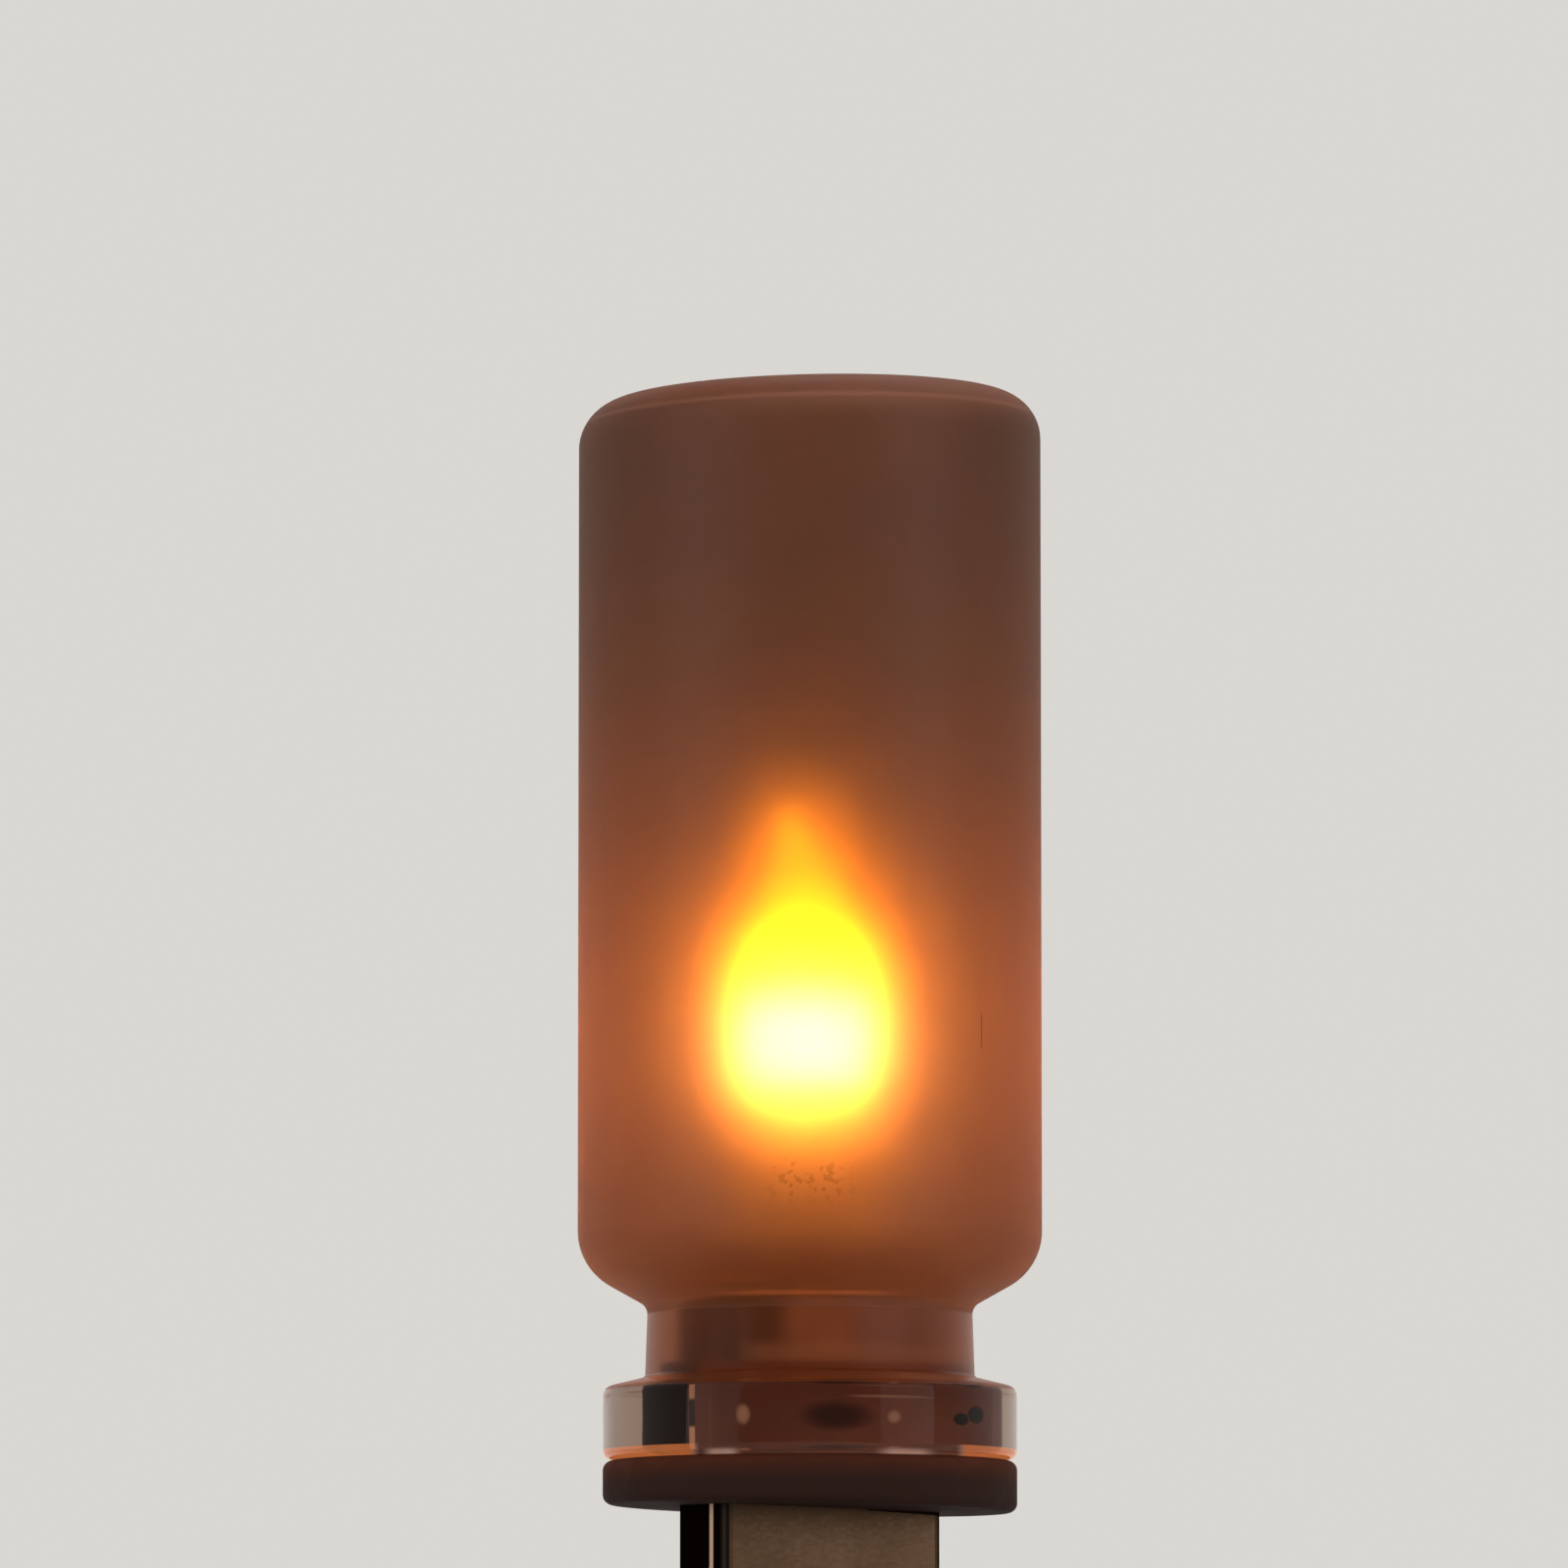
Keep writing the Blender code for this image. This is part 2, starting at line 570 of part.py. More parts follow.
frosted_glass = finish("Frosted glass", (0.85, 0.72, 0.6), 0.35, transmission=1.0)
resin = finish("Clear resin", (0.9, 0.85, 0.75), 0.05, transmission=1.0)
matte_grey = finish("Matte grey plastic", (0.06, 0.045, 0.04), 0.7)
plated = finish("Plated steel", (0.6, 0.58, 0.54), 0.28, metallic=1.0)
gold = finish("Gold plating", (0.85, 0.6, 0.25), 0.25, metallic=1.0)
black = finish("Black moulded plastic", (0.012, 0.012, 0.013), 0.5)
white_board = finish("White lamp board", (0.75, 0.75, 0.72), 0.4)
led_lens = finish("Amber LED lens", (0.9, 0.55, 0.15), 0.3)
dark_ceramic = finish("Dark resistor", (0.03, 0.03, 0.035), 0.45)
tan_ceramic = finish("Tan capacitor", (0.42, 0.27, 0.15), 0.5)
milky = finish("Milky silicone", (0.95, 0.75, 0.5), 0.55)

core_size = (PLUG_WIDTH + 2 * CLEARANCE, PLUG_HEIGHT + 2 * CLEARANCE, 2 * (BLOCK_TOP + PLUG_LENGTH))
core_cutter = as_cutter(block("core_cutter", core_size, (0, 0, 0), plated, min(PLUG_CORNER, BLOCK_CORNER)))

make_plug_shell()
strip_slots = make_contacts()
make_insulator(strip_slots)
make_rear_block(strip_slots)
make_board()
make_chip()
make_small_parts()
make_leds()
make_diffuser()
make_base_disc()
make_resin()
make_glass_cover()
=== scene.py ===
"""Looks of the flame-effect LED bulb: frosted glass over a glowing flame, a clear flange, a matte disc
and a plug."""

import math

import bpy
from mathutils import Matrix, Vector


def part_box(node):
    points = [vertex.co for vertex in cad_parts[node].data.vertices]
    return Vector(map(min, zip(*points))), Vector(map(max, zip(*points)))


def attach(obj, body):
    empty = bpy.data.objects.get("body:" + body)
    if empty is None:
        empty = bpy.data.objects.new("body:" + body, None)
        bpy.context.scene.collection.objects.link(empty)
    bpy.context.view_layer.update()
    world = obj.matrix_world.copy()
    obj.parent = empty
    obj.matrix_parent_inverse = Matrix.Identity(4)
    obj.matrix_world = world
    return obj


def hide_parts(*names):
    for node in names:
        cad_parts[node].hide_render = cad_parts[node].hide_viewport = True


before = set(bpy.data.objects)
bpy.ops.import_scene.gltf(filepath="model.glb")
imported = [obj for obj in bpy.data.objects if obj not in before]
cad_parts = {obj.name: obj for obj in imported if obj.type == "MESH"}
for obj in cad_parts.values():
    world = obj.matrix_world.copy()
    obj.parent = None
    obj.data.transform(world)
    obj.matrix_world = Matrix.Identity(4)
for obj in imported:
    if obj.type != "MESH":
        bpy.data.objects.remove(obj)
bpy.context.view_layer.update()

MM = 0.001

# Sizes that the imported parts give
FLANGE_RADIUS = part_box("base_disc")[1].x
DISC_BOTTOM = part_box("base_disc")[0].z
DISC_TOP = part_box("base_disc")[1].z
GLASS_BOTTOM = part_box("glass_cover")[0].z
GLASS_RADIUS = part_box("glass_cover")[1].x
BORE_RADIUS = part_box("clear_resin")[1].x + 0.05 * MM
PLUG_HALF_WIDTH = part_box("plug_shell")[1].x
PLUG_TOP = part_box("plug_shell")[1].z
FLAME_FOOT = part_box("flame_diffuser")[0].z
FLAME_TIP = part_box("flame_diffuser")[1].z

# Sizes of the glass, as the part has them; its heights count from the flange's foot
GLASS_HEIGHT = 50.61 * MM
GLASS_WALL = 1.0 * MM
GLASS_SIDES = 160
TOP_CORNER = 2.25 * MM
TOP_SLANT = math.radians(1.3)
SLANT_TOWARDS = math.radians(-31.0)
SHOULDER_RADIUS = 2.95 * MM
SHOULDER_SLOPE = math.radians(29.3)
NECK_RADIUS = BORE_RADIUS + 0.9 * MM
NECK_DRAFT = 0.1 * MM
NECK_TOP = 6.88 * MM
NECK_BEND = 0.65 * MM
FLANGE_HEIGHT = 3.87 * MM
FLANGE_SLOPE = math.radians(13.0)
FLANGE_CORNER = 0.5 * MM
FLANGE_EDGE = 0.45 * MM
FLANGE_TO_NECK = 0.12 * MM
POLISHED_TO = 3.25 * MM
SMOOTH_ANGLE = math.radians(30.0)

# Places that follow from them, in the frame
GLASS_TOP = GLASS_BOTTOM + GLASS_HEIGHT
BEND_RADIUS = GLASS_RADIUS - SHOULDER_RADIUS
NECK_SLIMMEST = NECK_RADIUS - NECK_DRAFT

# The resin's level above the flange's foot, and how it rises to the wall: distance from it and rise
FILL_TOP = 7.55 * MM
FILL_ROUND = ((1.0 * MM, 0.0), (0.5 * MM, 0.05 * MM), (0.2 * MM, 0.16 * MM), (0.05 * MM, 0.32 * MM))
FILL_CLEAR = 0.45 * MM

# Finishes of the cover's outside, in the order in which the cover holds them
BODY_FINISH, POLISHED_FINISH, EDGE_FINISH, NECK_FINISH = range(4)

# Clear glass
POLISHED_TINT = (0.36, 0.24, 0.18)
POLISHED_GLINT = (0.15, 0.11, 0.10, 1.0)
POLISHED_IOR = 1.5
INSIDE_TINT = (0.86, 0.76, 0.70)

# Frosted glass: tint and blur of the light that goes nearly straight and of the light that spreads wide
BODY_SHARP = ((0.060, 0.048, 0.070), 0.42)
BODY_WIDE = ((0.142, 0.057, 0.024), 0.8)
BODY_WIDE_SHARE = 0.76
BODY_GLINT = 1.0
BODY_GLOW = 0.18
NECK_SHARP = ((0.21, 0.075, 0.036), 0.25)
NECK_WIDE = ((0.19, 0.062, 0.026), 0.5)
NECK_WIDE_SHARE = 0.5
NECK_GLINT = 0.15
NECK_GLOW = 0.15
WIDE_GLINT = (0.3, 0.24, 0.2)
FROSTED_IOR = 1.42

# Glow of the frosted glass round the flame
GLOW_COLOR = (1.0, 0.22, 0.05)
GLOW_HEIGHT = 34.2 * MM
GLOW_REACH = 12.5 * MM
RIM_GLOW = 0.05
TOP_LINE_COLOR = (1.0, 0.37, 0.20)
TOP_LINE_GLOW = 0.04
TOP_LINE_DROP = 1.15 * MM
BEND_LINE_GLOW = 0.10
BEND_LINE_HEIGHT = 21.8 * MM

# Marks on the glass: how much darker they make its colour, and how much of its glow they take
SCRATCH_AZIMUTH = 16.0
SCRATCH_LOW = 33.1 * MM
SCRATCH_HIGH = 35.0 * MM
SCRATCH_SHADE = 0.35
SCRATCH_DIMMING = 0.6
SPECK_HEIGHT = 26.9 * MM
SPECK_SHADE = 0.55
SPECK_DIMMING = 0.25

# Light out of the flange's lower edge: where its two arcs start, and each glint's middle and reach
EDGE_TINT = (0.20, 0.07, 0.03)
EDGE_ARCS = (-5.4 * MM, 7.1 * MM)
EDGE_ARC_COLOR = (1.0, 0.28, 0.08)
EDGE_ARC_GLOW = 0.30
EDGE_GLINTS = ((-4.1 * MM, 1.0 * MM), (4.5 * MM, 1.6 * MM))
EDGE_GLINT_COLOR = (1.0, 0.62, 0.48)
EDGE_GLINT_GLOW = 0.22
EDGE_FAINT_GLOW = 0.03

# Disc
DISC_EDGE = 0.45 * MM
DISC_FIRST_RING = 2.0 * MM
DISC_SAG = 0.2 * MM
DISC_DARK = (0.024, 0.0105, 0.0085)
DISC_LIT = (0.070, 0.017, 0.007)
DISC_CLOUD = (0.042, 0.018, 0.013)

# Plug shell: plating, and what the resin holds of it, each in two close colours
PLATED = ((0.064, 0.037, 0.022), (0.052, 0.030, 0.017))
# Painted shade on the shell's narrow sides
PAINTED_SIDE_SHADE = (0.012, 0.009, 0.007)
PLATED_GLINT = (0.3, 0.22, 0.18, 1.0)
HELD_TONES = ((0.230, 0.096, 0.068), (0.194, 0.081, 0.058))
DEEP_SHADE = (0.006, 0.004, 0.003)
HELD_DULLING = 0.85

# Dark marks, painted highlights and a pale line on the held broad faces: middle and reach along X and
# Z, softness and colour
CORE_MARKS_AND_HIGHLIGHTS = (
    ((-0.30 * MM, 16.22 * MM), (1.30 * MM, 0.62 * MM), 0.9, (0.045, 0.013, 0.007)),
    ((-4.35 * MM, 16.22 * MM), (0.30 * MM, 0.42 * MM), 0.95, (0.86, 0.67, 0.56)),
    ((1.93 * MM, 16.20 * MM), (0.22 * MM, 0.28 * MM), 0.95, (0.50, 0.35, 0.28)),
    ((1.75 * MM, 17.12 * MM), (1.45 * MM, 0.05 * MM), 0.7, (0.46, 0.32, 0.24)),
    ((4.36 * MM, 16.15 * MM), (0.26 * MM, 0.28 * MM), 0.3, (0.004, 0.003, 0.002)),
    ((4.90 * MM, 16.38 * MM), (0.30 * MM, 0.40 * MM), 0.4, (0.004, 0.003, 0.002)),
)

# Painted highlight line down the shell's narrow sides, broken once where the resin holds it
LINE_START = 0.80 * MM
LINE_END = 1.20 * MM
LINE_TOP = 17.7 * MM
HIGHLIGHT_LINE_COLOR = (0.62, 0.44, 0.32)
HELD_HIGHLIGHT_LINE_COLOR = (1.0, 0.82, 0.62)
LINE_BREAK_HEIGHT = 16.3 * MM
LINE_BREAK_COLOR = (0.010, 0.006, 0.004)

# Painted shadow in the thin gap under the disc, on the shell
GAP_SHADOW_START = 1.7 * MM
GAP_SHADOW_SLOPE = 0.045

# Block behind the plug, glowing with its colours as painted light: colours along its width, and painted
# lit and shaded colours on its flanks
POTTING_BANDS = (
    (0.0, (0.004, 0.003, 0.002)), (0.09, (0.004, 0.003, 0.002)), (0.12, (0.030, 0.018, 0.013)),
    (0.15, (0.008, 0.004, 0.003)), (0.25, (0.012, 0.005, 0.004)), (0.33, (0.17, 0.075, 0.045)),
    (0.50, (0.20, 0.085, 0.05)), (0.58, (0.12, 0.07, 0.07)), (0.82, (0.12, 0.075, 0.075)),
    (0.90, (0.17, 0.09, 0.07)), (1.0, (0.20, 0.11, 0.08)),
)
POTTING_CLOUD = (0.03, 0.012, 0.008)
FLANK_LIT = (0.22, 0.12, 0.075)
FLANK_SHADED = (0.012, 0.007, 0.005)

# Flame; its levels are a share of its height and the brightness there
BELLY_Z = FLAME_FOOT + 3.25 * MM
BELLY_RADIUS = 3.3 * MM
FOOT_RADIUS = 2.4 * MM
FLAME_LEAN = 1.5 * MM
FLAME_SHIFT = 0.25 * MM
FLAME_RINGS = 40
FLAME_SIDES = 48
FLAME_POWER = 300.0
FLAME_LEVELS = (
    (0.0, 0.04), (0.08, 0.50), (0.17, 1.0), (0.31, 0.80),
    (0.44, 0.22), (0.58, 0.052), (0.78, 0.036), (1.0, 0.108),
)
FLAME_TIP_COLOR = (1.0, 0.36, 0.0)
FLAME_HEART_COLOR = (1.0, 0.46, 0.11)
LENS_COLOR = (1.0, 0.55, 0.16, 1.0)

# Finishes of the small parts: two close colours, roughness, grain and relief
GOLD_PLATING = ("Gold plating", (0.80, 0.55, 0.22), (0.72, 0.48, 0.18), 0.25, 1500.0)
RESISTOR_COLORS = ((0.02, 0.018, 0.018), (0.03, 0.028, 0.027))
SMALL_PARTS = {
    "plug_insulator": (
        "Black moulding", (0.012, 0.011, 0.011), (0.018, 0.016, 0.015), 0.5, 900.0, 0.006 * MM,
    ),
    "lamp_board": (
        "White solder mask", (0.62, 0.60, 0.55), (0.56, 0.54, 0.49), 0.35, 700.0, 0.004 * MM,
    ),
    "controller_chip": ("Chip moulding", (0.016, 0.015, 0.015), (0.024, 0.022, 0.021), 0.45, 1500.0),
    "resistor_left": ("Resistor body", *RESISTOR_COLORS, 0.4, 2000.0),
    "resistor_right": ("Second resistor body", *RESISTOR_COLORS, 0.4, 2000.0),
    "capacitor": ("Tan ceramic", (0.32, 0.21, 0.12), (0.27, 0.17, 0.10), 0.45, 2000.0),
}

# Camera, as the photo was taken
CAMERA_AZIMUTH = -31.0
CAMERA_DISTANCE = 566.5 * MM
CAMERA_HEIGHT = -8.62 * MM
CAMERA_PITCH = 5.55
CAMERA_AIM_LEFT = 0.124
LENS = 274.8
SENSOR = 36.0

# Studio: each softbox has its turn from the camera, elevation, distance, width, height and power
SOFTBOXES = (
    ("Left softbox", -56, 12, 0.5, 0.3, 0.5, 0.9),
    ("Right softbox", 56, 12, 0.5, 0.3, 0.5, 0.9),
    ("Top softbox", 150, 70, 0.6, 0.5, 0.5, 1.3),
)
LAMP_AIM = Vector((0.0, 0.0, 0.035))
AMBIENT_COLOR = (1.0, 0.98, 0.95)
AMBIENT_STRENGTH = 0.45
PALE = (0.70, 0.68, 0.65)
PALE_GRAIN = (0.68, 0.66, 0.63)
FLOOR_RADIUS = 0.25
FLOOR_Z = -0.05 * MM


# Nodes

def node(tree, kind, **values):
    made = tree.nodes.new(kind)
    for key, value in values.items():
        setattr(made, key, value)
    return made


def maths(tree, operation, a, b=None):
    made = node(tree, "ShaderNodeMath", operation=operation)
    for socket, value in zip(made.inputs, (a, b)):
        if value is None:
            continue
        if isinstance(value, (int, float)):
            socket.default_value = value
        else:
            tree.links.new(value, socket)
    return made.outputs[0]


def product(tree, first, *others):
    """All the values multiplied together."""
    for other in others:
        first = maths(tree, "MULTIPLY", first, other)
    return first


def inverse(tree, value):
    return maths(tree, "SUBTRACT", 1.0, value)


def distance(tree, value, middle):
    """How far a value lies from a middle, on either side."""
    return maths(tree, "ABSOLUTE", maths(tree, "SUBTRACT", value, middle))


def step(tree, value, low, high, low_out=0.0, high_out=1.0):
    """A soft step: low_out below low, high_out above high."""
    made = node(tree, "ShaderNodeMapRange", interpolation_type="SMOOTHSTEP")
    tree.links.new(value, made.inputs["Value"])
    sockets = ("From Min", "From Max", "To Min", "To Max")
    for socket, number in zip(sockets, (low, high, low_out, high_out)):
        made.inputs[socket].default_value = number
    return made.outputs["Result"]


def fade(tree, value, full, gone):
    """1 up to full, 0 from gone on."""
    return step(tree, value, full, gone, 1.0, 0.0)


def clouded(tree, cloud, low_out=0.0, high_out=1.0):
    """Noise, most of which lies between 0.3 and 0.7, stretched between two values."""
    return step(tree, cloud, 0.3, 0.7, low_out, high_out)


def noise(tree, place, scale, detail, stretch=(1.0, 1.0, 1.0)):
    """Noise on the piece's own coordinates; the scale counts blotches per metre."""
    mapping = node(tree, "ShaderNodeMapping")
    mapping.inputs["Scale"].default_value = stretch
    tree.links.new(place, mapping.inputs["Vector"])
    made = node(tree, "ShaderNodeTexNoise")
    made.inputs["Scale"].default_value = scale
    made.inputs["Detail"].default_value = detail
    tree.links.new(mapping.outputs[0], made.inputs["Vector"])
    return made.outputs["Fac"]


def mix_color(tree, factor, a, b):
    made = node(tree, "ShaderNodeMix", data_type="RGBA")
    tree.links.new(factor, made.inputs["Factor"])
    color_a, color_b = made.inputs[6], made.inputs[7]
    for socket, value in ((color_a, a), (color_b, b)):
        if isinstance(value, tuple):
            socket.default_value = (*value, 1.0)
        else:
            tree.links.new(value, socket)
    return made.outputs[2]


def color_ramp(tree, value, stops):
    """The colour at a value from 0 to 1, blended between stops of a position and a colour."""
    ramp = node(tree, "ShaderNodeValToRGB")
    tree.links.new(value, ramp.inputs["Fac"])
    elements = ramp.color_ramp.elements
    while len(elements) < len(stops):
        elements.new(0.5)
    for element, (position, color) in zip(elements, stops):
        element.position = position
        element.color = (*color, 1.0)
    return ramp.outputs["Color"]


def bump(tree, shader, height, depth):
    made = node(tree, "ShaderNodeBump")
    made.inputs["Strength"].default_value = 1.0
    made.inputs["Distance"].default_value = depth
    tree.links.new(height, made.inputs["Height"])
    tree.links.new(made.outputs[0], shader.inputs["Normal"])


def split_place(tree, place):
    """A place's X, Y and Z."""
    split = node(tree, "ShaderNodeSeparateXYZ")
    tree.links.new(place, split.inputs[0])
    return split.outputs


def across(tree, split, degrees):
    """How far a place lies to the right of the bulb's axis for someone who looks from that azimuth."""
    azimuth = math.radians(degrees)
    along_x = maths(tree, "MULTIPLY", split["X"], math.cos(azimuth))
    along_y = maths(tree, "MULTIPLY", split["Y"], math.sin(azimuth))
    return maths(tree, "ADD", along_x, along_y)


def near_half(tree, split, degrees):
    """1 on the half of the bulb towards an azimuth, 0 on the other."""
    azimuth = math.radians(degrees)
    along_x = maths(tree, "MULTIPLY", split["X"], math.sin(azimuth))
    along_y = maths(tree, "MULTIPLY", split["Y"], math.cos(azimuth))
    return maths(tree, "GREATER_THAN", maths(tree, "SUBTRACT", along_x, along_y), 0.0)


def shaded(color, factor):
    return tuple(min(part * factor, 1.0) for part in color)


# Camera and studio

def place_camera():
    azimuth = math.radians(CAMERA_AZIMUTH)
    data = bpy.data.cameras.new("Camera")
    data.lens = LENS
    data.sensor_width = SENSOR
    data.clip_start = 0.01
    data.clip_end = 10.0
    camera = bpy.data.objects.new("Camera", data)
    bpy.context.scene.collection.objects.link(camera)
    camera.location = (
        math.sin(azimuth) * CAMERA_DISTANCE,
        -math.cos(azimuth) * CAMERA_DISTANCE,
        CAMERA_HEIGHT,
    )
    camera.rotation_euler = (
        math.radians(90.0 + CAMERA_PITCH),
        0.0,
        azimuth + math.radians(CAMERA_AIM_LEFT),
    )
    bpy.context.scene.camera = camera


def softbox(name, azimuth, elevation, distance_off, width, height, power):
    """A soft lamp, placed by its angle round the bulb and aimed at the glass."""
    data = bpy.data.lights.new(name, "AREA")
    data.shape = "RECTANGLE"
    data.size = width
    data.size_y = height
    data.energy = power
    lamp = bpy.data.objects.new(name, data)
    bpy.context.scene.collection.objects.link(lamp)
    turn = math.radians(azimuth)
    rise = math.radians(elevation)
    away = Vector((math.sin(turn) * math.cos(rise), -math.cos(turn) * math.cos(rise), math.sin(rise)))
    lamp.location = LAMP_AIM + away * distance_off
    lamp.rotation_euler = (-away).to_track_quat("-Z", "Y").to_euler()


def background(tree, color, strength):
    made = node(tree, "ShaderNodeBackground")
    made.inputs["Color"].default_value = (*color, 1.0)
    made.inputs["Strength"].default_value = strength
    return made.outputs[0]


def light_studio():
    """Softboxes and an even light all round, where the camera, metal and glass see a pale backdrop."""
    for name, turn, elevation, distance_off, width, height, power in SOFTBOXES:
        softbox(name, CAMERA_AZIMUTH + turn, elevation, distance_off, width, height, power)

    world = bpy.data.worlds.new("Pale studio")
    bpy.context.scene.world = world
    world.use_nodes = True
    tree = world.node_tree
    tree.nodes.clear()
    path = node(tree, "ShaderNodeLightPath").outputs
    seen = maths(tree, "MAXIMUM", path["Is Camera Ray"], path["Is Glossy Ray"])
    seen = maths(tree, "MAXIMUM", seen, path["Is Transmission Ray"])
    mix = node(tree, "ShaderNodeMixShader")
    tree.links.new(seen, mix.inputs["Fac"])
    tree.links.new(background(tree, AMBIENT_COLOR, AMBIENT_STRENGTH), mix.inputs[1])
    tree.links.new(background(tree, PALE, 1.0), mix.inputs[2])
    output = node(tree, "ShaderNodeOutputWorld")
    tree.links.new(mix.outputs[0], output.inputs["Surface"])


def lay_floor():
    """A round pale floor that the plug's open end stands on."""
    bpy.ops.object.select_all(action="DESELECT")
    bpy.ops.mesh.primitive_circle_add(
        vertices=96, radius=FLOOR_RADIUS, fill_type="NGON", location=(0, 0, FLOOR_Z)
    )
    floor = bpy.context.object
    floor.name = "floor"
    bpy.ops.object.transform_apply(location=True)
    floor.data.materials.append(grained("Pale floor", PALE, PALE_GRAIN, 0.8, 60.0))


# Materials

def start_material(name, color, roughness, metallic=0.0):
    """A Principled material: its nodes, its shader and the place in the piece's own coordinates."""
    material = bpy.data.materials.new(name)
    material.use_nodes = True
    tree = material.node_tree
    shader = tree.nodes["Principled BSDF"]
    shader.inputs["Base Color"].default_value = (*color, 1.0)
    shader.inputs["Roughness"].default_value = roughness
    shader.inputs["Metallic"].default_value = metallic
    place = node(tree, "ShaderNodeTexCoord").outputs["Object"]
    return material, tree, shader, place


def grained(name, color, other, roughness, scale, relief=0.0, metallic=0.0):
    """A plain finish with its own grain: two close colours, an uneven gloss and a little relief."""
    material, tree, shader, place = start_material(name, color, roughness, metallic)
    coarse = noise(tree, place, scale, detail=3.0)
    tree.links.new(mix_color(tree, clouded(tree, coarse), color, other), shader.inputs["Base Color"])
    gloss = clouded(tree, coarse, roughness * 0.85, min(roughness * 1.15, 1.0))
    tree.links.new(gloss, shader.inputs["Roughness"])
    if relief:
        bump(tree, shader, noise(tree, place, scale * 6.0, detail=2.0), relief)
    return material


def let_light_through(shader, index):
    shader.inputs["Transmission Weight"].default_value = 1.0
    shader.inputs["IOR"].default_value = index


def top_line(tree, split):
    """A thin pale line round the top, where its inner corner shines through."""
    rise_x = maths(tree, "MULTIPLY", split["X"], slant_rise(1.0, 0.0))
    rise_y = maths(tree, "MULTIPLY", split["Y"], slant_rise(0.0, 1.0))
    level = maths(tree, "SUBTRACT", maths(tree, "SUBTRACT", split["Z"], rise_x), rise_y)
    return fade(tree, distance(tree, level, GLASS_TOP - TOP_LINE_DROP), 0.03 * MM, 0.18 * MM)


def bend_line(tree, split):
    """A thin line of light in the round where the neck meets the shoulder, under the flame."""
    off_middle = maths(tree, "ABSOLUTE", across(tree, split, CAMERA_AZIMUTH))
    wide = fade(tree, off_middle, 2.0 * MM, 5.0 * MM)
    thin = fade(tree, distance(tree, split["Z"], BEND_LINE_HEIGHT), 0.04 * MM, 0.14 * MM)
    return product(tree, wide, thin)


def scratch_mask(tree, split):
    """One hairline scratch down the glass, at the flame's height."""
    off_middle = maths(tree, "ABSOLUTE", across(tree, split, SCRATCH_AZIMUTH))
    thin = fade(tree, off_middle, 0.02 * MM, 0.06 * MM)
    above = step(tree, split["Z"], SCRATCH_LOW, SCRATCH_LOW + 0.3 * MM)
    below = fade(tree, split["Z"], SCRATCH_HIGH - 0.3 * MM, SCRATCH_HIGH)
    return product(tree, thin, near_half(tree, split, SCRATCH_AZIMUTH), above, below)


def speck_mask(tree, place, split):
    """A patch of small dark specks low on the glass, under the flame."""
    off_middle = maths(tree, "ABSOLUTE", across(tree, split, CAMERA_AZIMUTH))
    wide = fade(tree, off_middle, 0.8 * MM, 2.6 * MM)
    tall = fade(tree, distance(tree, split["Z"], SPECK_HEIGHT), 0.4 * MM, 1.4 * MM)
    dots = step(tree, noise(tree, place, scale=2600.0, detail=1.0), 0.56, 0.64)
    return product(tree, wide, near_half(tree, split, CAMERA_AZIMUTH), tall, dots)


def glass_glow(tree, split, strength):
    """The light that frosted glass gives off, most at the flame's height: how much, and its colour."""
    away = maths(tree, "DIVIDE", maths(tree, "SUBTRACT", split["Z"], GLOW_HEIGHT), GLOW_REACH)
    fall = maths(tree, "POWER", maths(tree, "ADD", product(tree, away, away), 1.0), -1.5)
    rim = step(tree, split["Z"], GLASS_TOP - 1.6 * MM, GLASS_TOP - 0.3 * MM, 0.0, RIM_GLOW)
    glow = maths(tree, "ADD", product(tree, fall, strength), rim)
    glow = maths(tree, "ADD", glow, product(tree, bend_line(tree, split), BEND_LINE_GLOW))
    line = top_line(tree, split)
    glow = maths(tree, "ADD", glow, product(tree, line, TOP_LINE_GLOW))
    return glow, mix_color(tree, line, GLOW_COLOR, TOP_LINE_COLOR)


def frosted_glass(name, sharp, wide, wide_share, glint, glow_strength):
    """Sand-blasted glass round a flame. It lets the flame's light through, part of it nearly straight
    and part of it spread wide and warmer, and glows with it, less with distance."""
    material, tree, shader, place = start_material(name, *sharp)
    split = split_place(tree, place)
    spread = node(tree, "ShaderNodeBsdfPrincipled")
    cloud = noise(tree, place, scale=260.0, detail=2.0)
    grain = noise(tree, place, scale=6000.0, detail=2.0)
    scratch = scratch_mask(tree, split)
    specks = speck_mask(tree, place, split)

    glow, glow_color = glass_glow(tree, split, glow_strength)
    kept = inverse(tree, product(tree, scratch, SCRATCH_DIMMING))
    kept = maths(tree, "SUBTRACT", kept, product(tree, specks, SPECK_DIMMING))
    glow = product(tree, glow, kept)

    shader.inputs["Specular Tint"].default_value = (glint, glint, glint, 1.0)
    spread.inputs["Specular Tint"].default_value = (*(part * glint for part in WIDE_GLINT), 1.0)
    for lobe, (tint, blur) in ((shader, sharp), (spread, wide)):
        let_light_through(lobe, FROSTED_IOR)
        color = mix_color(tree, clouded(tree, cloud), tint, shaded(tint, 1.12))
        color = mix_color(tree, scratch, color, shaded(tint, SCRATCH_SHADE))
        color = mix_color(tree, specks, color, shaded(tint, SPECK_SHADE))
        tree.links.new(color, lobe.inputs["Base Color"])
        tree.links.new(clouded(tree, cloud, blur * 0.97, blur * 1.03), lobe.inputs["Roughness"])
        tree.links.new(glow_color, lobe.inputs["Emission Color"])
        tree.links.new(glow, lobe.inputs["Emission Strength"])
        bump(tree, lobe, grain, 0.004 * MM)
    mix = node(tree, "ShaderNodeMixShader")
    mix.inputs["Fac"].default_value = wide_share
    tree.links.new(shader.outputs[0], mix.inputs[1])
    tree.links.new(spread.outputs[0], mix.inputs[2])
    tree.links.new(mix.outputs[0], tree.nodes["Material Output"].inputs["Surface"])
    return material


